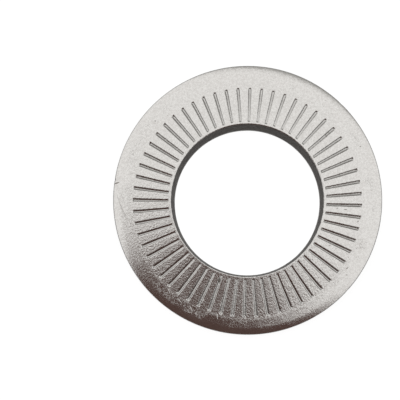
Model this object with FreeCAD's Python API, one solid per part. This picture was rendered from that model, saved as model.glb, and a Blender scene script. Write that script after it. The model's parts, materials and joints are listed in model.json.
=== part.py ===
import FreeCAD, Part
import math
import os

# Contact washer: a coned spring washer, blanked from one piece of sheet steel, with radial
# serrations pressed into its convex face.
# The origin is on the axis, in the plane that the rim stands on. +Z points out of the
# convex face. Lengths are in millimetres, angles in degrees.

# Ring
outer_diameter = 30.0
bore_diameter = 16.2
sheet_thickness = 2.4
cone_angle = 9.0

# Blanked rim: rolled over beside the convex face, then a straight burnished land, then a
# broken zone that leans in to the sharp edge that the washer stands on
rim_roll_radius = 3.2
rim_roll_turn = 14.0
rim_edge_radius = 0.15
rim_land_length = 0.95
rim_break_lean = 0.18

# The piercing and the serrating punch both went in off centre, towards the same side
punch_offset_angle = 263.8

# Pierced bore: a bevelled entry in the concave face, a straight sheared land, then a broken
# zone that flares out to a bevelled edge at the convex face. The entry and the land lie beside
# the ring's axis, and the edge at the convex face lies round it.
bore_offset = 0.305
bore_entry_setback = 0.13
bore_land_length = 0.7
bore_break_flare = 0.37
bore_exit_setback = 0.11

# Ring under the serrating punch, set slightly below the plain band round the rim
plain_band_width = 1.84
pressed_depth = 0.02
pressed_shoulder_width = 0.06

# Serrations: straight grooves with leaning walls and cut corners, deeper towards the rim
serration_count = 60
serration_offset = 0.22
first_serration_angle = 4.45
serration_floor_width = 0.225
serration_corner_cut = 0.06
serration_wall_lean = 28.0
serration_outer_depth = 0.15
serration_inner_depth = 0.10
serration_outer_margin = 0.38
serration_inner_margin = 0.25
cutter_clearance = 0.2

# Worked out from the sizes above
axis_point = FreeCAD.Vector(0, 0, 0)
axis_direction = FreeCAD.Vector(0, 0, 1)
full_turn = 360.0
quarter_turn = 90.0
corner_cut_growth = 2 - math.sqrt(2)
join_tolerance = 1e-6
outer_radius = outer_diameter / 2
bore_radius = bore_diameter / 2
bore_exit_reach = bore_radius + bore_break_flare
standing_radius = outer_radius - rim_break_lean
pressed_radius = outer_radius - plain_band_width
face_slope = math.tan(math.radians(cone_angle))


def section_point(radius, height):
    return FreeCAD.Vector(radius, 0, height)


def concave_height(radius):
    return (standing_radius - radius) * face_slope


def convex_height(radius):
    return concave_height(radius) + sheet_thickness


def pressed_height(radius):
    return convex_height(radius) - pressed_depth


# Centre of a punch that went in off the ring's axis
def punch_centre(offset):
    turn = math.radians(punch_offset_angle)
    return FreeCAD.Vector(offset * math.cos(turn), offset * math.sin(turn), 0)


def point_on_circle(centre, radius, angle):
    turn = math.radians(angle)
    return centre + section_point(radius * math.cos(turn), radius * math.sin(turn))


def section_arc(centre, radius, start_angle, end_angle):
    middle_angle = (start_angle + end_angle) / 2
    return Part.Arc(
        point_on_circle(centre, radius, start_angle),
        point_on_circle(centre, radius, middle_angle),
        point_on_circle(centre, radius, end_angle),
    )


# Both ends of the bevel that cuts a corner back along its two sides
def bevelled_corner(before, corner, after, setback):
    to_before = (before - corner).normalize()
    to_after = (after - corner).normalize()
    return corner + to_before * setback, corner + to_after * setback


# Rolled-over edge of the convex face: a wide arc that leaves the face and a small one that
# turns on from it into the rim's vertical land
def rim_roll_arcs():
    face_normal = quarter_turn - cone_angle
    joint_normal = face_normal - rim_roll_turn
    joint_radius = outer_radius - rim_edge_radius * (1 - math.cos(math.radians(joint_normal)))
    centre_radius = joint_radius - rim_roll_radius * math.cos(math.radians(joint_normal))
    start_radius = centre_radius + rim_roll_radius * math.cos(math.radians(face_normal))
    face_rise = rim_roll_radius * math.sin(math.radians(face_normal))
    roll_centre = section_point(centre_radius, convex_height(start_radius) - face_rise)
    joint = point_on_circle(roll_centre, rim_roll_radius, joint_normal)
    edge_centre = joint - point_on_circle(axis_point, rim_edge_radius, joint_normal)
    edge_arc = section_arc(edge_centre, rim_edge_radius, 0, joint_normal)
    roll_arc = section_arc(roll_centre, rim_roll_radius, joint_normal, face_normal)
    return edge_arc, roll_arc


# Closed section of the ring: each arc or plain corner is joined to the next by a line
def joined_section(stops):
    edges = []
    for index, stop in enumerate(stops):
        following = stops[(index + 1) % len(stops)]
        is_arc = isinstance(stop, Part.Arc)
        following_is_arc = isinstance(following, Part.Arc)
        if is_arc:
            edges.append(stop.toShape())
        line_start = stop.toShape().Vertexes[-1].Point if is_arc else stop
        line_end = following.toShape().Vertexes[0].Point if following_is_arc else following
        if line_start.distanceToPoint(line_end) > join_tolerance:
            edges.append(Part.LineSegment(line_start, line_end).toShape())
    return Part.Wire(edges)


# Ring with a hole that is narrower than the bore, for the punch to open out
def plain_ring():
    edge_arc, roll_arc = rim_roll_arcs()
    rim_land_top = edge_arc.toShape().Vertexes[0].Point
    rim_land_bottom = rim_land_top - axis_direction * rim_land_length
    shoulder_radius = pressed_radius - pressed_shoulder_width
    hole_radius = bore_radius - bore_offset - cutter_clearance
    section = joined_section([
        section_point(standing_radius, concave_height(standing_radius)),
        rim_land_bottom,
        edge_arc,
        roll_arc,
        section_point(pressed_radius, convex_height(pressed_radius)),
        section_point(shoulder_radius, pressed_height(shoulder_radius)),
        section_point(hole_radius, pressed_height(hole_radius)),
        section_point(hole_radius, concave_height(hole_radius)),
    ])
    return Part.Face(section).revolve(axis_point, axis_direction, full_turn)


# Solid of revolution that cuts inside a line of section points, round a vertical axis
def turned_cutter(centre, line):
    to_axis = [section_point(0, line[-1].z), section_point(0, line[0].z)]
    outline = [centre + point for point in line + to_axis]
    section = Part.Face(Part.makePolygon(outline + outline[:1]))
    return section.revolve(centre, axis_direction, full_turn)


def circle_wire(centre, radius, height):
    return Part.Wire(Part.makeCircle(radius, centre + axis_direction * height, axis_direction))


# Punch that opens the bore: entry and land beside the ring's axis, the flare between the land
# and the convex face, and the bevelled edge round the ring's axis
def bore_cutters():
    land_centre = punch_centre(bore_offset)
    entry = section_point(bore_radius, concave_height(bore_radius))
    standing_edge = section_point(standing_radius, concave_height(standing_radius))
    land_bottom, entry_edge = bevelled_corner(
        entry + axis_direction,
        entry,
        standing_edge,
        bore_entry_setback,
    )
    land_top = land_bottom + axis_direction * bore_land_length
    past_entry = entry_edge + (entry_edge - land_bottom)
    below_ring = past_entry - axis_direction * sheet_thickness
    land = turned_cutter(land_centre, [below_ring, past_entry, land_bottom, land_top])

    exit_corner = section_point(bore_exit_reach, pressed_height(bore_exit_reach))
    rim_side = section_point(pressed_radius, pressed_height(pressed_radius))
    bevel_low, bevel_high = bevelled_corner(land_top, exit_corner, rim_side, bore_exit_setback)
    before_exit = bevel_low - (bevel_high - bevel_low)
    past_exit = bevel_high + (bevel_high - bevel_low)
    above_ring = past_exit + axis_direction * sheet_thickness
    exit_edge = turned_cutter(axis_point, [before_exit, past_exit, above_ring])

    flare = Part.makeLoft(
        [
            circle_wire(land_centre, bore_radius, land_top.z),
            circle_wire(axis_point, bore_exit_reach, exit_corner.z),
        ],
        True,
        True,
    )
    return [land, flare, exit_edge]


# Outline of one serration at a height above its floor, in the plane of that floor. Its outer
# end lies at zero and its inner end along -X, and it widens with height as the walls lean out.
def serration_outline(floor_length, height):
    spread = height * math.tan(math.radians(serration_wall_lean))
    corner_cut = serration_corner_cut + spread * corner_cut_growth
    side = serration_floor_width / 2 + spread
    side_cut = side - corner_cut
    outer = spread
    outer_cut = outer - corner_cut
    inner = -floor_length - spread
    inner_cut = inner + corner_cut
    outline = [
        (outer, side_cut),
        (outer_cut, side),
        (inner_cut, side),
        (inner, side_cut),
        (inner, -side_cut),
        (inner_cut, -side),
        (outer_cut, -side),
        (outer, -side_cut),
    ]
    points = [FreeCAD.Vector(along, across, height) for along, across in outline]
    return Part.makePolygon(points + points[:1])


# Ridge of the punch that presses one serration, at an angle round the punch's centre. Its
# mouth follows the height of the ring's face there.
def serration_ridge(angle):
    outer_end = pressed_radius - serration_outer_margin
    inner_end = bore_exit_reach + serration_inner_margin
    wall_spread = math.tan(math.radians(serration_wall_lean))
    mouth_length = (outer_end - inner_end) / math.cos(math.radians(cone_angle))
    floor_length = mouth_length - (serration_outer_depth + serration_inner_depth) * wall_spread
    depth_change = serration_outer_depth - serration_inner_depth
    floor_angle = cone_angle + math.degrees(math.atan(depth_change / floor_length))
    ridge = Part.makeLoft(
        [
            serration_outline(floor_length, 0),
            serration_outline(floor_length, serration_outer_depth + cutter_clearance),
        ],
        True,
        True,
    )
    ring_turn = FreeCAD.Rotation(axis_direction, angle)
    floor_turn = ring_turn * FreeCAD.Rotation(FreeCAD.Vector(0, 1, 0), floor_angle)
    mouth = punch_centre(serration_offset) + ring_turn.multVec(section_point(outer_end, 0))
    mouth.z = pressed_height(math.hypot(mouth.x, mouth.y))
    sink = FreeCAD.Vector(-serration_outer_depth * wall_spread, 0, -serration_outer_depth)
    ridge.Placement = FreeCAD.Placement(mouth + floor_turn.multVec(sink), floor_turn)
    return ridge


def serration_ridges():
    ridges = []
    pitch = full_turn / serration_count
    for index in range(serration_count):
        ridges.append(serration_ridge(first_serration_angle + index * pitch))
    return ridges


def contact_washer():
    return plain_ring().cut(bore_cutters() + serration_ridges())


os.makedirs("parts", exist_ok=True)
washer = contact_washer()
solid = washer.Solids[0]
solid.exportStep("parts/contact_washer.step")
print("contact_washer", "solids", len(washer.Solids), "valid", solid.isValid(), "volume", solid.Volume)
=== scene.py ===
import json
import math

import bmesh
import bpy
from mathutils import Matrix, Vector, noise


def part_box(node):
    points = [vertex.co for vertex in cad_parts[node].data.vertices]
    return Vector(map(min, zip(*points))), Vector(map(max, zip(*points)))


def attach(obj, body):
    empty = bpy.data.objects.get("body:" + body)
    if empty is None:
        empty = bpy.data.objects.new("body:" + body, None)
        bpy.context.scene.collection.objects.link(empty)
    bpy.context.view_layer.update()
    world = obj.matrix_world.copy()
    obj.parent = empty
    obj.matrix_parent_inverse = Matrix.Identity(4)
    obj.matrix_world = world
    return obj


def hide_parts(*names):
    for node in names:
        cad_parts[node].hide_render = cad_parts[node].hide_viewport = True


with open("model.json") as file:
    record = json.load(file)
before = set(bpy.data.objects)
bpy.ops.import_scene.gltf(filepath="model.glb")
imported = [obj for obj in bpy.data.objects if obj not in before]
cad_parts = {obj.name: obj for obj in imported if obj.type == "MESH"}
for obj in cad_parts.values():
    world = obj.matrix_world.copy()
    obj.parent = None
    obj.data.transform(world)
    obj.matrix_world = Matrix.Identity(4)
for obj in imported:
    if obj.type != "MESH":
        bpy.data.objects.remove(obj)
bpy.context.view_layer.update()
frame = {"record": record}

print("frame loaded")

mm = 0.001  # the mesh is modelled in millimetres and brought to metres at the end
axis = Vector((0, 0, 1))
outwardX = Vector((1, 0, 0))
middle = Vector((0, 0, 0))

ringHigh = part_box("contact_washer")[1]
boreMount = next(mount for mount in frame["record"]["mounts"] if mount["name"] == "bore")

washer = {
    "outerRadius": ringHigh[0] / mm,
    "boreRadius": boreMount["dims"]["r_mm"],
    "boreLandTop": boreMount["pos_m"][2] / mm + boreMount["dims"]["length_mm"] / 2,
    "thickness": 2.4,
    "coneAngle": 9.0,
    "columns": 10,  # mesh columns in one serration's share of the ring
    # rim: rolled over beside the convex face, a sheared land, a broken zone that leans in
    "rollRadius": 3.2,
    "rollTurn": 14.0,
    "edgeRadius": 0.15,
    "rimLand": 0.95,
    "rimLandRound": 0.04,
    "breakLean": 0.18,
    "standingRound": 0.035,
    # bore: rounded entry below, a sheared land, a broken zone that flares to the convex face
    # the punch went in off centre, as the bore mount says
    "boreOffset": Vector((boreMount["pos_m"][0], boreMount["pos_m"][1], 0)) / mm,
    "offsetFade": (0, 1),  # distances from the exit's edge where the offset ends
    "entryRound": 0.13,
    "boreLandRound": 0.05,
    "boreFlare": 0.37,
    "exitRound": 0.11,
    # ring that the serrating punch has set slightly below the plain band
    "plainBand": 1.70,
    "pressedDepth": 0.01,
    "shoulderWidth": 0.20,
    "shoulderRound": 0.07,
}

serration = {
    "count": 60,
    "firstAngle": 4.6,
    "outerMargin": 0.52,
    "innerMargin": 0.25,
    "outerWidth": 0.385,
    "innerWidth": 0.331,
    "wallWidth": 0.13,
    "outerDepth": 0.135,
    "innerDepth": 0.095,
    "rows": 10,  # mesh rows along a groove
    # roundings: setback and segments
    "endRound": (0.08, 4),  # wider than half the floor, so it folds at the outer end
    "mouthRound": (0.04, 3),
    "floorRound": (0.06, 4),
    # the serrating punch went in off centre too
    "offset": 0.26,
    "offsetAngle": 263.8,
    "offsetFade": (-0.1, 0.3),  # distances from the bore's exit where the offset begins
}

# How faces and edges are picked while one sector is modelled, in millimetres and radians
picking = {
    "upwardFace": 0.9,  # least height of a normal on the convex face
    "pressedArea": 0.3,  # least area of a face of the pressed ring
    "middleColumn": 0.05,  # how far the groove's middle column may lie from the X axis
    "alongX": 0.05,  # least length along X of the edges to take out beyond the groove
    "endBend": 1.0,  # least bend at the two outer corners of the groove's walls
    "outlineBend": 0.5,  # least bend round its mouth and its floor
    "outlineSide": 0.25,  # how far its outline may lie from the X axis
    "outlineEnd": 0.1,  # and past its ends
    "cutWeld": 1e-5,
    "sectorWeld": 0.002,  # joins points inside that fold too, which leaves open edges there
}

# wear marks, and the painted shade in the grooves
wearAndShade = {
    "tornDepth": 0.045,  # how deep the broken zones are torn
    "tornGrain": 3.2,  # torn cells per millimetre
    "tornOctaves": 4,
    "tornEdge": (-0.03, 0.10),  # distances past a land where the tearing begins
    "landWander": 0.09,  # how far the edges of the sheared lands wander
    "landWaves": ((0.7, 1.0), (2.6, 0.6)),  # waves per millimetre, and their shares
    "wallLevel": (0.5, 0.93),  # heights of the normal from a wall to a face
    "rimStart": 0.5,  # how far outside the pressed ring the rim begins
    "boreEnd": 0.15,  # how far outside the exit's edge the bore ends
    "innerFade": (0.12, 0.3),  # distances from the exit where the grooves' wander and painted shade begin
    "outerFade": (0.05, 0.25),  # and from the shoulder
    # how far grooves and faces wander, and waves per millimetre
    "sideDrift": 0.012,
    "sideWaves": 1.3,
    "alongDrift": 0.024,
    "alongWaves": 0.8,
    "faceRise": 0.004,
    "faceWaves": 0.35,
    "floorShade": 0.22,  # painted shade on the floors of the grooves, a share of the painted shade on their walls
    "floorDepth": (0.03, 0.08),
    "cavityLevel": (0.62, 0.94),  # heights of the normal from a groove's wall, in full painted shade, to a face, in none
    # knocks: angle, radius, height, reach, depth
    "knocks": [
        (171.2, 14.95, 2.25, 0.30, 0.07),
        (46.0, 14.98, 2.10, 0.25, 0.04),
        (318.0, 15.00, 2.05, 0.30, 0.04),
    ],
}

slope = math.tan(math.radians(washer["coneAngle"]))
standingRadius = washer["outerRadius"] - washer["breakLean"]
pressedRadius = washer["outerRadius"] - washer["plainBand"]
shoulderRadius = pressedRadius - washer["shoulderWidth"]
exitRadius = washer["boreRadius"] + washer["boreFlare"]
grooveOuter = pressedRadius - serration["outerMargin"]
grooveInner = exitRadius + serration["innerMargin"]


def smoothStep(low, high, value):
    share = min(max((value - low) / (high - low), 0), 1)
    return share * share * (3 - 2 * share)


# Place at a radius and an angle round the washer, in degrees from +X
def placeAt(radius, angle, height=0):
    turn = math.radians(angle)
    return Vector((radius * math.cos(turn), radius * math.sin(turn), height))


# Heights of the faces above the plane that the washer stands on
def concaveHeight(radius):
    return (standingRadius - radius) * slope


def convexHeight(radius):
    return concaveHeight(radius) + washer["thickness"]


def pressedHeight(radius):
    return convexHeight(radius) - washer["pressedDepth"]


# Whether a place lies nearer to the convex face than to the concave one
def isUpper(place, radius):
    return place.z > concaveHeight(radius) + washer["thickness"] / 2


# Corners of the ring's section before rounding: radius, height, setback of the rounding,
# its segments, and the cuts in the straight stretch that follows
def sectionCorners():
    faceTurn = math.radians(90 - washer["coneAngle"])
    jointTurn = faceTurn - math.radians(washer["rollTurn"])
    rollSetback = washer["rollRadius"] * math.tan((faceTurn - jointTurn) / 2)
    edgeSetback = washer["edgeRadius"] * math.tan(jointTurn / 2)
    # the wide roll and the small edge round share a tangent at their joint
    jointRadius = washer["outerRadius"] - edgeSetback * math.sin(jointTurn)
    rollCorner = jointRadius - rollSetback * math.sin(jointTurn)
    rimCorner = convexHeight(rollCorner) - (rollSetback + edgeSetback) * math.cos(jointTurn)
    landBottom = rimCorner - edgeSetback - washer["rimLand"]
    return [
        (standingRadius, 0, washer["standingRound"], 2, 9),
        (washer["outerRadius"], landBottom, washer["rimLandRound"], 2, 2),
        (washer["outerRadius"], rimCorner, edgeSetback, 4, 0),
        (rollCorner, convexHeight(rollCorner), rollSetback, 6, 2),
        (pressedRadius, convexHeight(pressedRadius), washer["shoulderRound"], 2, 0),
        (shoulderRadius, pressedHeight(shoulderRadius), washer["shoulderRound"], 2, 0),
        (exitRadius, pressedHeight(exitRadius), washer["exitRound"], 4, 9),
        (washer["boreRadius"], washer["boreLandTop"], washer["boreLandRound"], 2, 2),
        (washer["boreRadius"], concaveHeight(washer["boreRadius"]), washer["entryRound"], 3, 5),
    ]


def bevel(mesh, parts, offset, segments, affect="EDGES"):
    bmesh.ops.bevel(
        mesh, geom=parts, offset=offset, offset_type="OFFSET", affect=affect,
        segments=segments, profile=0.5, material=-1, clamp_overlap=False,
    )


# Closed wire of the section, rounded at its corners and cut along its straight stretches
def drawSection(mesh):
    radii, heights, setbacks, segments, cuts = zip(*sectionCorners())
    places = [Vector((radius, 0, height)) for radius, height in zip(radii, heights)]
    points = [mesh.verts.new(place) for place in places]
    mesh.faces.new(points)
    for point, setback, count in zip(points, setbacks, segments):
        bevel(mesh, [point], setback, count, "VERTICES")
    bmesh.ops.delete(mesh, geom=mesh.faces[:], context="FACES_ONLY")
    for place, following, count in zip(places, places[1:] + places[:1], cuts):
        if count == 0:
            continue
        # the stretch that passes halfway adds least to its own length
        halfway = (place + following) / 2
        stretch = min(
            mesh.edges,
            key=lambda edge: sum((point.co - halfway).length for point in edge.verts)
            - edge.calc_length(),
        )
        bmesh.ops.subdivide_edges(mesh, edges=[stretch], cuts=count)


def cutFaces(mesh, faces, point, normal):
    geometry = {part for face in faces for part in (face, *face.edges, *face.verts)}
    cut = bmesh.ops.bisect_plane(
        mesh, geom=list(geometry), dist=picking["cutWeld"], plane_co=point, plane_no=normal,
    )
    return [part for part in cut["geom"] if isinstance(part, bmesh.types.BMFace)]


# One groove, pressed into the part of the ring round the +X axis
def pressGroove(mesh, strip):
    length = grooveOuter - grooveInner
    halfWidening = (serration["outerWidth"] - serration["innerWidth"]) / 2
    for side in (1, -1):
        corner = Vector((grooveOuter, side * serration["outerWidth"] / 2, 0))
        along = Vector((length, side * halfWidening, 0))
        strip = cutFaces(mesh, strip, corner, along.cross(axis))
    for row in range(1, serration["rows"]):
        reach = grooveInner + length * row / serration["rows"]
        strip = cutFaces(mesh, strip, outwardX * reach, outwardX)

    column = [
        face for face in strip if abs(face.calc_center_median().y) < picking["middleColumn"]
    ]
    for end in (grooveOuter, grooveInner):
        column = cutFaces(mesh, column, outwardX * end, outwardX)
    mouth = [
        face for face in column if grooveInner < face.calc_center_median().x < grooveOuter
    ]
    loose = {
        edge for face in column if face not in mouth for edge in face.edges
        if abs(edge.verts[0].co.x - edge.verts[1].co.x) > picking["alongX"]
    }
    bmesh.ops.dissolve_edges(mesh, edges=list(loose), use_verts=False)

    mesh.normal_update()
    walls = bmesh.ops.inset_region(
        mesh, faces=mouth, thickness=serration["wallWidth"], depth=-serration["outerDepth"],
        use_boundary=True, use_even_offset=True,
    )["faces"]
    rise = serration["outerDepth"] - serration["innerDepth"]
    for point in {point for face in mouth for point in face.verts}:
        point.co.z += rise * (grooveOuter - point.co.x) / length
    mesh.normal_update()
    wallEdges = {edge for face in walls for edge in face.edges}
    ends = [
        edge for edge in wallEdges
        if all(face in walls for face in edge.link_faces)
        and edge.calc_face_angle() > picking["endBend"]
    ]
    bevel(mesh, ends, *serration["endRound"])

    # the mouth's edges bend outwards, the floor's inwards
    for rounding, bend in (("mouthRound", 1), ("floorRound", -1)):
        mesh.normal_update()
        outline = [
            edge for edge in mesh.edges
            if len(edge.link_faces) == 2
            and edge.calc_face_angle_signed() * bend > picking["outlineBend"]
            and abs(edge.verts[0].co.y) < picking["outlineSide"]
            and edge.verts[0].co.x > grooveInner - picking["outlineEnd"]
            and edge.verts[0].co.x < grooveOuter + picking["outlineEnd"]
            and isUpper(edge.verts[0].co, edge.verts[0].co.x)
        ]
        bevel(mesh, outline, *serration[rounding])


def buildRing(mesh):
    share = 2 * math.pi / serration["count"]
    drawSection(mesh)
    bmesh.ops.rotate(
        mesh, cent=middle, matrix=Matrix.Rotation(-share / 2, 3, "Z"), verts=mesh.verts[:],
    )
    bmesh.ops.spin(
        mesh, geom=mesh.verts[:] + mesh.edges[:], cent=middle, axis=axis,
        angle=share, steps=washer["columns"], use_merge=False,
    )
    bmesh.ops.recalc_face_normals(mesh, faces=mesh.faces[:])
    strip = [
        face for face in mesh.faces
        if face.normal.z > picking["upwardFace"] and face.calc_area() > picking["pressedArea"]
        and face.calc_center_median().x < shoulderRadius
    ]
    strip = bmesh.ops.dissolve_faces(mesh, faces=strip, use_verts=False)["region"]
    pressGroove(mesh, strip)
    bmesh.ops.spin(
        mesh, geom=mesh.verts[:] + mesh.edges[:] + mesh.faces[:], cent=middle, axis=axis,
        angle=share * (serration["count"] - 1), steps=serration["count"] - 1,
        use_merge=False, use_duplicate=True,
    )
    bmesh.ops.remove_doubles(mesh, verts=mesh.verts[:], dist=picking["sectorWeld"])
    bmesh.ops.recalc_face_normals(mesh, faces=mesh.faces[:])
    firstTurn = Matrix.Rotation(math.radians(serration["firstAngle"]), 3, "Z")
    bmesh.ops.rotate(mesh, cent=middle, matrix=firstTurn, verts=mesh.verts[:])


# Moves the land and the entry of the bore off centre, and leans the broken zone above them
def offsetBore(mesh):
    exitHeight = pressedHeight(exitRadius)
    for point in mesh.verts:
        radius = math.hypot(point.co.x, point.co.y)
        if radius > exitRadius and point.co.z > exitHeight - washer["thickness"] / 2:
            continue
        rise = (point.co.z - washer["boreLandTop"]) / (exitHeight - washer["boreLandTop"])
        inward = 1 - smoothStep(*washer["offsetFade"], radius - exitRadius)
        point.co += washer["boreOffset"] * (1 - min(max(rise, 0), 1)) * inward


# Moves the serrations with the punch that pressed them, while both ends of the pressed ring
# stay where they are
def offsetSerrations(mesh):
    offset = placeAt(1, serration["offsetAngle"]) * serration["offset"]
    for point in mesh.verts:
        radius = math.hypot(point.co.x, point.co.y)
        if radius > shoulderRadius or not isUpper(point.co, radius):
            continue
        outward = Vector((point.co.x, point.co.y, 0)) / radius
        around = axis.cross(outward)
        inside = smoothStep(*serration["offsetFade"], radius - exitRadius)
        beyond = 1 - smoothStep(grooveOuter, shoulderRadius, radius)
        sideways = offset.dot(around) * inside * beyond
        along = offset.dot(outward) * smoothStep(exitRadius, grooveOuter, radius) * beyond
        point.co += around * sideways + (outward - axis * slope) * along


# Marks of blanking, piercing and pressing, and the values that the finish reads: how much
# of a sheared wall a point is, how far that wall is torn, and how much painted shade darkens a
# groove there
def wearAndShadeRing(mesh):
    rimLandBottom = sectionCorners()[1][1]  # height of the section's second corner
    wallLayer = mesh.verts.layers.float.new("wall")
    tornLayer = mesh.verts.layers.float.new("torn")
    grooveShadeLayer = mesh.verts.layers.float.new("cavity")
    mesh.normal_update()
    for point in mesh.verts:
        place = point.co.copy()
        level = Vector((place.x, place.y, 0))
        radius = math.hypot(place.x, place.y)
        outward = level / radius
        around = axis.cross(outward)
        isRim = radius > pressedRadius + wearAndShade["rimStart"]
        isBore = radius < exitRadius + wearAndShade["boreEnd"]
        wall = 0
        torn = 0
        cavity = 0
        if isRim or isBore:
            wall = 1 - smoothStep(*wearAndShade["wallLevel"], abs(point.normal.z))
            waves = (share * noise.noise(level * scale) for scale, share in wearAndShade["landWaves"])
            wander = sum(waves) * wearAndShade["landWander"]
            below = rimLandBottom + wander - place.z
            above = place.z - washer["boreLandTop"] - wander
            torn = smoothStep(*wearAndShade["tornEdge"], below if isRim else above) * wall
            tear = noise.turbulence(place * wearAndShade["tornGrain"], wearAndShade["tornOctaves"], False)
            depth = wearAndShade["tornDepth"] * torn * tear
            point.co += outward * (-depth if isRim else depth)
        else:
            inside = smoothStep(*wearAndShade["innerFade"], radius - exitRadius)
            inside *= smoothStep(*wearAndShade["outerFade"], shoulderRadius - radius)
            # far apart in the noise, so that the two don't match
            sideways = noise.noise(place * wearAndShade["sideWaves"] + axis * 7) * inside
            along = noise.noise(place * wearAndShade["alongWaves"] - axis * 5) * inside
            # painted shade: darker colour on steep groove walls, and a little on their floors
            if isUpper(place, radius):
                floor = smoothStep(*wearAndShade["floorDepth"], pressedHeight(radius) - place.z)
                steep = 1 - smoothStep(*wearAndShade["cavityLevel"], point.normal.z)
                cavity = max(steep, floor * wearAndShade["floorShade"]) * inside
            point.co += around * sideways * wearAndShade["sideDrift"]
            point.co += outward * along * wearAndShade["alongDrift"]
        rise = noise.noise(place * wearAndShade["faceWaves"]) * wearAndShade["faceRise"]
        point.co.z += rise * smoothStep(0, 1, place.z)
        for angle, reach, height, width, depth in wearAndShade["knocks"]:
            knock = placeAt(reach, angle, height)
            share = 1 - smoothStep(0, 1, (place - knock).length / width)
            point.co -= (outward + axis).normalized() * depth * share
        point[wallLayer] = wall
        point[tornLayer] = torn
        point[grooveShadeLayer] = cavity


# Shading normals that follow the larger faces, so flat faces stay even beside rounded edges
def evenNormals(mesh):
    areaPower = 1.2
    normals = []
    mesh.normal_update()
    for point in mesh.verts:
        shares = (face.normal * face.calc_area() ** areaPower for face in point.link_faces)
        normals.append(sum(shares, middle).normalized())
    return normals


def makePiece(mesh, name):
    data = bpy.data.meshes.new(name)
    mesh.to_mesh(data)
    mesh.free()
    piece = bpy.data.objects.new(name, data)
    bpy.context.collection.objects.link(piece)
    return piece


def makeWasher():
    mesh = bmesh.new()
    buildRing(mesh)
    offsetBore(mesh)
    offsetSerrations(mesh)
    wearAndShadeRing(mesh)
    normals = evenNormals(mesh)
    bmesh.ops.scale(mesh, vec=Vector((mm, mm, mm)), verts=mesh.verts[:])
    for face in mesh.faces:
        face.smooth = True
    piece = makePiece(mesh, "serratedRing")
    piece.data.normals_split_custom_set_from_vertices(normals)
    return piece


ring = makeWasher()
print("ring built,", sum(len(face.vertices) - 2 for face in ring.data.polygons), "triangles")


nodeRows = 5
nodeGaps = (190, 120)


def blankTree(owner):
    owner.use_nodes = True
    owner.node_tree.nodes.clear()
    return owner.node_tree


# A new node with its settings, and its sockets set to values or linked to other sockets
def addNode(tree, kind, sockets, **settings):
    node = tree.nodes.new(kind)
    count = len(tree.nodes)
    node.location = (count * nodeGaps[0], -count % nodeRows * nodeGaps[1])
    for name, value in settings.items():
        setattr(node, name, value)
    for name, value in sockets.items():
        if isinstance(value, bpy.types.NodeSocket):
            tree.links.new(value, node.inputs[name])
        else:
            node.inputs[name].default_value = value
    return node


# A mix node has sockets of each kind, so its colours are 6 and 7 and its values 2 and 3
def mixColours(tree, share, first, second, blend="MIX"):
    return addNode(
        tree, "ShaderNodeMix", {0: share, 6: first, 7: second},
        data_type="RGBA", blend_type=blend,
    ).outputs[2]


def mixValues(tree, share, first, second):
    return addNode(
        tree, "ShaderNodeMix", {0: share, 2: first, 3: second}, data_type="FLOAT",
    ).outputs[0]


def mathNode(tree, operation, first, second):
    return addNode(
        tree, "ShaderNodeMath", {0: first, 1: second}, operation=operation,
    ).outputs[0]


def vectorMath(tree, operation, *vectors):
    node = addNode(
        tree, "ShaderNodeVectorMath", dict(enumerate(vectors)), operation=operation,
    )
    return node.outputs["Value" if operation in ("LENGTH", "DOT_PRODUCT") else "Vector"]


def remap(tree, value, low, high, toLow=0.0, toHigh=1.0):
    return addNode(
        tree, "ShaderNodeMapRange",
        {"Value": value, "From Min": low, "From Max": high, "To Min": toLow, "To Max": toHigh},
        interpolation_type="SMOOTHSTEP",
    ).outputs[0]


def grainNoise(tree, place, scale, detail=2.0, roughness=0.5):
    return addNode(
        tree, "ShaderNodeTexNoise",
        {"Vector": place, "Scale": scale, "Detail": detail, "Roughness": roughness},
    ).outputs[0]


def bumpNode(tree, height, distance, onto=None):
    sockets = {"Height": height, "Distance": distance, "Strength": 1.0}
    if onto:
        sockets["Normal"] = onto
    return addNode(tree, "ShaderNodeBump", sockets).outputs[0]


# The parts of a place across the axis, and its distance from the axis
def acrossAxis(tree, place):
    flat = vectorMath(tree, "MULTIPLY", place, (1, 1, 0))
    return flat, vectorMath(tree, "LENGTH", flat)


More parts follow.
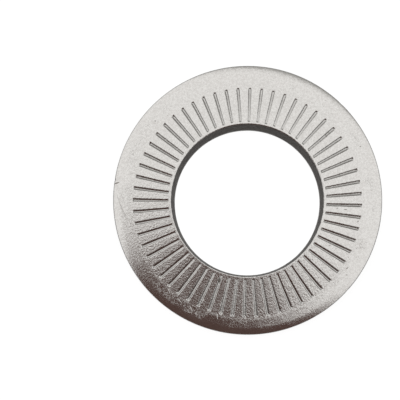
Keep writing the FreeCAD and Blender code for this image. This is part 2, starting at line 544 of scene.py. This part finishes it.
finish = {
    "face": (0.76, 0.744, 0.718, 1),
    "faceWorn": (0.645, 0.625, 0.60, 1),
    "pit": (0.16, 0.14, 0.125, 1),
    # next: painted shade colour for the walls and floors of the grooves
    "cavity": (0.22, 0.212, 0.201, 1),
    "land": (0.13, 0.124, 0.117, 1),
    "torn": (0.099, 0.092, 0.086, 1),
    "plainRoughness": 0.16,
    "pressedRoughness": 0.19,
    "landRoughness": 0.32,
    "tornRoughness": 0.62,
    "clouding": 0.03,  # how much the roughness varies from cloud to cloud
    "sparkle": 0.08,  # and from grain to grain
    # sizes in millimetres, and waves or cells per millimetre
    "grainSize": 0.21,
    "fineSize": 0.0525,
    "tornWaves": 7.0,
    "cloudWaves": 0.55,
    "pitCells": 1.6,
    "pitPatchWaves": 1.1,
    "pitReach": 0.085,
    "pitEdge": 0.04,
    # ragged border of the pressed ring: radii from plain to pressed, before the wander
    "borderRadii": (14.75, 13.9),
    "borderWaves": 1.6,
    "borderWander": 2.2,
    # curled scratches at that border: the radii where they come and go, and their wander
    "scratchInner": (13.6, 13.9),
    "scratchOuter": (14.9, 14.5),
    "scratchWander": 0.5,
    "scratchWaves": 1.9,
    "scratchCurl": 1.2,
    # ranges of the noises' values, where 0.5 is the middle
    "scratchBelow": (0.485, 0.5),
    "scratchAbove": (0.515, 0.5),
    "scratchPatches": (0.5, 0.58),
    "pitPatches": (0.58, 0.72),
    "grainRange": (0.3, 0.7),
    "fineRange": (0.35, 0.65),
    # heights in metres
    "plainGrain": 0.000011,
    "pressedGrain": 0.000027,
    "fineHeight": 0.0000030,
    "tornHeight": 0.00003,
    "scuffHeight": 0.000016,
    "scratchHeight": 0.000007,
    # dark marks on the convex face, then scuffs that shine where the face is dark:
    # angle round the washer, radius, turn from the radius, half length, half width, strength
    "specks": [
        (172.5, 14.72, 24, 0.36, 0.08, 0.9),
        (250.8, 9.42, 10, 0.30, 0.17, 1.0),
        (325.8, 13.4, 70, 0.16, 0.07, 0.8),
        (323.1, 13.8, 30, 0.13, 0.06, 0.6),
        (331.2, 10.4, 60, 0.15, 0.06, 0.6),
        (336.3, 10.9, 20, 0.10, 0.07, 0.5),
        (349.2, 12.5, 40, 0.09, 0.09, 0.7),
        (354.6, 10.93, 0, 0.20, 0.06, 0.8),
        (354.9, 10.0, 30, 0.14, 0.06, 0.6),
        (357.0, 12.3, 75, 0.18, 0.05, 0.6),
        (25.5, 13.9, 45, 0.09, 0.08, 0.7),
        (139.2, 13.55, 45, 0.08, 0.08, 0.7),
        (39.9, 11.32, 90, 0.20, 0.06, 0.6),
        (39.9, 11.75, 90, 0.20, 0.05, 0.5),
        (179.0, 13.9, 112, 1.0, 0.035, 0.30),
        (181.0, 14.25, 108, 1.3, 0.035, 0.35),
        (183.5, 14.0, 110, 1.6, 0.035, 0.40),
        (186.0, 13.9, 107, 1.4, 0.035, 0.35),
        (188.5, 13.5, 110, 0.9, 0.035, 0.35),
        (192.0, 13.8, 108, 0.8, 0.035, 0.35),
    ],
    "scuffs": [
        (245.2, 12.95, 70, 0.22, 0.07, 1.0),
        (246.0, 12.45, -14, 0.48, 0.07, 1.0),
        (229.5, 13.4, 60, 0.25, 0.05, 0.8),
        (242.5, 13.6, 50, 0.35, 0.05, 0.8),
        (236.0, 13.5, 75, 0.30, 0.05, 0.7),
        (255.5, 13.4, 20, 0.30, 0.05, 0.7),
        (268.5, 13.1, 40, 0.18, 0.08, 0.8),
    ],
    "markEdge": (1.25, 0.5),  # where a mark begins and is full, in shares of its size
}


# How much a point lies in a list of oval marks on the convex face
def markShare(tree, place, marks):
    total = None
    for angle, radius, turn, halfLength, halfWidth, strength in marks:
        inMark = addNode(
            tree, "ShaderNodeMapping",
            {
                "Vector": place, "Location": placeAt(radius, angle, pressedHeight(radius)),
                "Rotation": (0, 0, math.radians(angle) + math.radians(turn)),
                "Scale": (halfLength, halfWidth, 1),
            },
            vector_type="TEXTURE",
        ).outputs[0]
        reach = vectorMath(tree, "LENGTH", inMark)
        share = remap(tree, reach, *finish["markEdge"], 0.0, strength)
        total = mathNode(tree, "MAXIMUM", total, share) if total else share
    return total


def steelFinish():
    material = bpy.data.materials.new("tumbledSteel")
    tree = blankTree(material)
    objectPlace = addNode(tree, "ShaderNodeTexCoord", {}).outputs["Object"]
    place = addNode(
        tree, "ShaderNodeMapping", {"Vector": objectPlace, "Scale": (1 / mm, 1 / mm, 1 / mm)},
    ).outputs[0]
    wall, torn, cavity = (
        addNode(tree, "ShaderNodeAttribute", {}, attribute_name=name).outputs["Fac"]
        for name in ("wall", "torn", "cavity")
    )

    # the pressed ring is grainier than the plain band, with a ragged change between them
    reach = acrossAxis(tree, place)[1]
    ragged = grainNoise(tree, place, finish["borderWaves"], detail=4.0, roughness=0.7)
    ragged = mathNode(tree, "MULTIPLY", ragged, finish["borderWander"])
    pressed = remap(tree, mathNode(tree, "ADD", reach, ragged), *finish["borderRadii"])

    grain = grainNoise(tree, place, 1 / finish["grainSize"], detail=3.0, roughness=0.55)
    fine = grainNoise(tree, place, 1 / finish["fineSize"], detail=2.0, roughness=0.6)
    cloud = grainNoise(tree, place, finish["cloudWaves"], detail=3.0)
    pitCells = addNode(
        tree, "ShaderNodeTexVoronoi",
        {"Vector": place, "Scale": finish["pitCells"], "Randomness": 1.0},
    )
    pitSize = grainNoise(tree, place, finish["pitPatchWaves"], detail=1.0)
    pitReach = remap(tree, pitSize, *finish["pitPatches"], 0.0, finish["pitReach"])
    pitDepth = mathNode(tree, "SUBTRACT", pitReach, pitCells.outputs["Distance"])
    pits = remap(tree, pitDepth, 0.0, finish["pitEdge"])
    specks = mathNode(tree, "MAXIMUM", pits, markShare(tree, place, finish["specks"]))
    scuffs = markShare(tree, place, finish["scuffs"])

    # fine curled scratches where the plain band meets the pressed ring
    curl = addNode(
        tree, "ShaderNodeTexNoise",
        {
            "Vector": place, "Scale": finish["scratchWaves"], "Detail": 2.0,
            "Distortion": finish["scratchCurl"],
        },
    ).outputs[0]
    scratches = mathNode(
        tree, "MULTIPLY",
        remap(tree, curl, *finish["scratchBelow"]), remap(tree, curl, *finish["scratchAbove"]),
    )
    patches = remap(tree, cloud, *finish["scratchPatches"])
    wander = mathNode(tree, "MULTIPLY", ragged, finish["scratchWander"])
    spread = mathNode(tree, "ADD", reach, wander)
    border = mathNode(
        tree, "MULTIPLY",
        remap(tree, spread, *finish["scratchInner"]),
        remap(tree, spread, *finish["scratchOuter"]),
    )
    border = mathNode(tree, "MULTIPLY", border, patches)
    scratches = mathNode(tree, "MULTIPLY", scratches, border)

    faceColour = mixColours(
        tree, remap(tree, grain, *finish["grainRange"]), finish["face"], finish["faceWorn"],
    )
    faceColour = mixColours(tree, specks, faceColour, finish["pit"])
    # painted shade darkens the walls and floors of the grooves
    faceColour = mixColours(tree, cavity, faceColour, finish["cavity"])
    wallColour = mixColours(tree, torn, finish["land"], finish["torn"])
    colour = mixColours(tree, wall, faceColour, wallColour)

    faceRoughness = mixValues(
        tree, pressed, finish["plainRoughness"], finish["pressedRoughness"],
    )
    clouding = remap(
        tree, cloud, *finish["grainRange"], -finish["clouding"], finish["clouding"],
    )
    sparkle = remap(tree, fine, *finish["fineRange"], -finish["sparkle"], finish["sparkle"])
    sparkle = mathNode(tree, "MULTIPLY", sparkle, pressed)
    faceRoughness = mathNode(tree, "ADD", faceRoughness, clouding)
    faceRoughness = mathNode(tree, "ADD", faceRoughness, sparkle)
    faceRoughness = mixValues(tree, scuffs, faceRoughness, finish["tornRoughness"])
    wallRoughness = mixValues(tree, torn, finish["landRoughness"], finish["tornRoughness"])
    roughness = mixValues(tree, wall, faceRoughness, wallRoughness)

    grainHeight = mixValues(tree, pressed, finish["plainGrain"], finish["pressedGrain"])
    normal = bumpNode(tree, grain, grainHeight)
    normal = bumpNode(tree, fine, finish["fineHeight"], onto=normal)
    normal = bumpNode(tree, scuffs, finish["scuffHeight"], onto=normal)
    normal = bumpNode(tree, scratches, finish["scratchHeight"], onto=normal)
    tornGrain = grainNoise(tree, place, finish["tornWaves"], detail=4.0, roughness=0.65)
    tornGrain = mathNode(tree, "MULTIPLY", tornGrain, torn)
    normal = bumpNode(tree, tornGrain, finish["tornHeight"], onto=normal)

    shader = addNode(
        tree, "ShaderNodeBsdfPrincipled",
        {"Base Color": colour, "Roughness": roughness, "Normal": normal, "Metallic": 1.0},
    )
    addNode(tree, "ShaderNodeOutputMaterial", {"Surface": shader.outputs[0]})
    return material


ring.data.materials.append(steelFinish())
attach(ring, "root")
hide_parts("contact_washer")
print("finish applied")

studio = {
    "light": (1.0, 1.0, 1.0, 1),
    "dark": (0.098, 0.061, 0.053, 1),
    "low": (0.14, 0.14, 0.14, 1),
    "darkTip": (-0.199, -0.029, 0),  # where the two edges of the dark side would meet
    "darkSide": 268.2,  # degrees round +Z from +X
    "darkEdge": 49.2,  # degrees to either side, where the dark begins
    "darkCore": 44.5,
    "darkStart": 0.12,  # distance from the camera's direction
    "darkFull": 0.24,
    "darkWiden": 0.08,  # how much wider the dark side is where the rim's roll reflects it
    "rollInner": (0.31, 0.5),  # distances from the camera's direction that the roll reflects
    "rollOuter": (0.9, 0.7),
    "horizonTip": 0.6,  # how much the lit part reaches down on the +Y side
    "horizonDip": 0.3,  # how much it keeps clear of the -Y side
    "horizonLow": 0.22,
    "horizonHigh": 0.46,
    "backDim": (0.38, 0.38, 0.37, 1),
    "backSide": (0.342, 0.94, 0),
    "backNear": 0.53,
    "backFar": 0.76,
}


# Soft light from all round above, with one dark side and darker low walls
def lightStudio():
    world = bpy.data.worlds.new("softStudio")
    bpy.context.scene.world = world
    tree = blankTree(world)
    direction = addNode(tree, "ShaderNodeTexCoord", {}).outputs["Generated"]
    flat, reach = acrossAxis(tree, direction)
    fromTip = vectorMath(tree, "SUBTRACT", flat, studio["darkTip"])
    bearing = vectorMath(tree, "NORMALIZE", fromTip)
    facing = vectorMath(tree, "DOT_PRODUCT", bearing, placeAt(1, studio["darkSide"]))
    rollSide = mathNode(
        tree, "MULTIPLY",
        remap(tree, reach, *studio["rollInner"]), remap(tree, reach, *studio["rollOuter"]),
    )
    widening = mathNode(tree, "MULTIPLY", rollSide, studio["darkWiden"])
    facing = mathNode(tree, "ADD", facing, widening)
    darkEdge = math.cos(math.radians(studio["darkEdge"]))
    darkCore = math.cos(math.radians(studio["darkCore"]))
    wedge = remap(tree, facing, darkEdge, darkCore)
    outside = remap(tree, reach, studio["darkStart"], studio["darkFull"])
    dark = mathNode(tree, "MULTIPLY", wedge, outside)
    tip = vectorMath(tree, "DOT_PRODUCT", direction, (0, studio["horizonTip"], 1))
    upward = vectorMath(tree, "DOT_PRODUCT", direction, (0, studio["horizonDip"], 1))
    tip = mathNode(tree, "MAXIMUM", tip, upward)
    height = remap(tree, tip, studio["horizonLow"], studio["horizonHigh"])
    openLight = mixColours(tree, height, studio["low"], studio["light"])
    behind = vectorMath(tree, "DOT_PRODUCT", direction, studio["backSide"])
    backShare = remap(tree, behind, studio["backNear"], studio["backFar"])
    backLight = mixColours(tree, backShare, (1, 1, 1, 1), studio["backDim"])
    openLight = mixColours(tree, 1.0, openLight, backLight, "MULTIPLY")
    lit = mixColours(tree, dark, openLight, studio["dark"])
    background = addNode(tree, "ShaderNodeBackground", {"Color": lit, "Strength": 1.0})
    addNode(tree, "ShaderNodeOutputWorld", {"Surface": background.outputs[0]})


table = {
    "size": 4.0,
    "colour": (0.25, 0.25, 0.25, 1),
    "glow": 0.9,
    "gap": 0.00002,  # below the rim
}


# Pale table: it takes the soft shadow, and shows white to the camera and in reflections
def layTable():
    mesh = bmesh.new()
    bmesh.ops.create_grid(mesh, x_segments=1, y_segments=1, size=table["size"])
    bmesh.ops.translate(mesh, vec=axis * -table["gap"], verts=mesh.verts[:])
    floor = makePiece(mesh, "paleTable")
    material = bpy.data.materials.new("palePaper")
    tree = blankTree(material)
    seen = addNode(tree, "ShaderNodeLightPath", {})
    direct = mathNode(
        tree, "MAXIMUM", seen.outputs["Is Camera Ray"], seen.outputs["Is Glossy Ray"],
    )
    direct = mathNode(tree, "MAXIMUM", direct, seen.outputs["Is Transmission Ray"])
    glow = mathNode(tree, "MULTIPLY", direct, table["glow"])
    paper = addNode(tree, "ShaderNodeBsdfDiffuse", {"Color": table["colour"]})
    light = addNode(tree, "ShaderNodeEmission", {"Strength": glow})
    both = addNode(tree, "ShaderNodeAddShader", {0: paper.outputs[0], 1: light.outputs[0]})
    addNode(tree, "ShaderNodeOutputMaterial", {"Surface": both.outputs[0]})
    floor.data.materials.append(material)


view = {
    "lens": 148.0,
    "sensor": 36,
    "distance": 0.184,
    "tilt": 0.0,
    "aside": 0.005298,  # how far the washer stands to the right of the picture's middle
    "below": 0.00004,  # and below it
    "middleHeight": 0.0017,
}


def placeCamera():
    data = bpy.data.cameras.new("camera")
    data.lens = view["lens"]
    data.sensor_width = view["sensor"]
    camera = bpy.data.objects.new("camera", data)
    bpy.context.collection.objects.link(camera)
    bpy.context.scene.camera = camera
    tilt = math.radians(view["tilt"])
    away = Vector((0, -math.sin(tilt), math.cos(tilt)))
    centre = axis * view["middleHeight"]
    place = centre + away * view["distance"]
    target = centre + Vector((-view["aside"], view["below"], 0))
    forward = (target - place).normalized()
    right = forward.cross(Vector((0, 1, 0))).normalized()
    turn = Matrix((right, right.cross(forward), -forward)).transposed()
    camera.matrix_world = Matrix.Translation(place) @ turn.to_4x4()


lightStudio()
layTable()
placeCamera()
bpy.context.scene.view_settings.view_transform = "Standard"
print("studio ready")
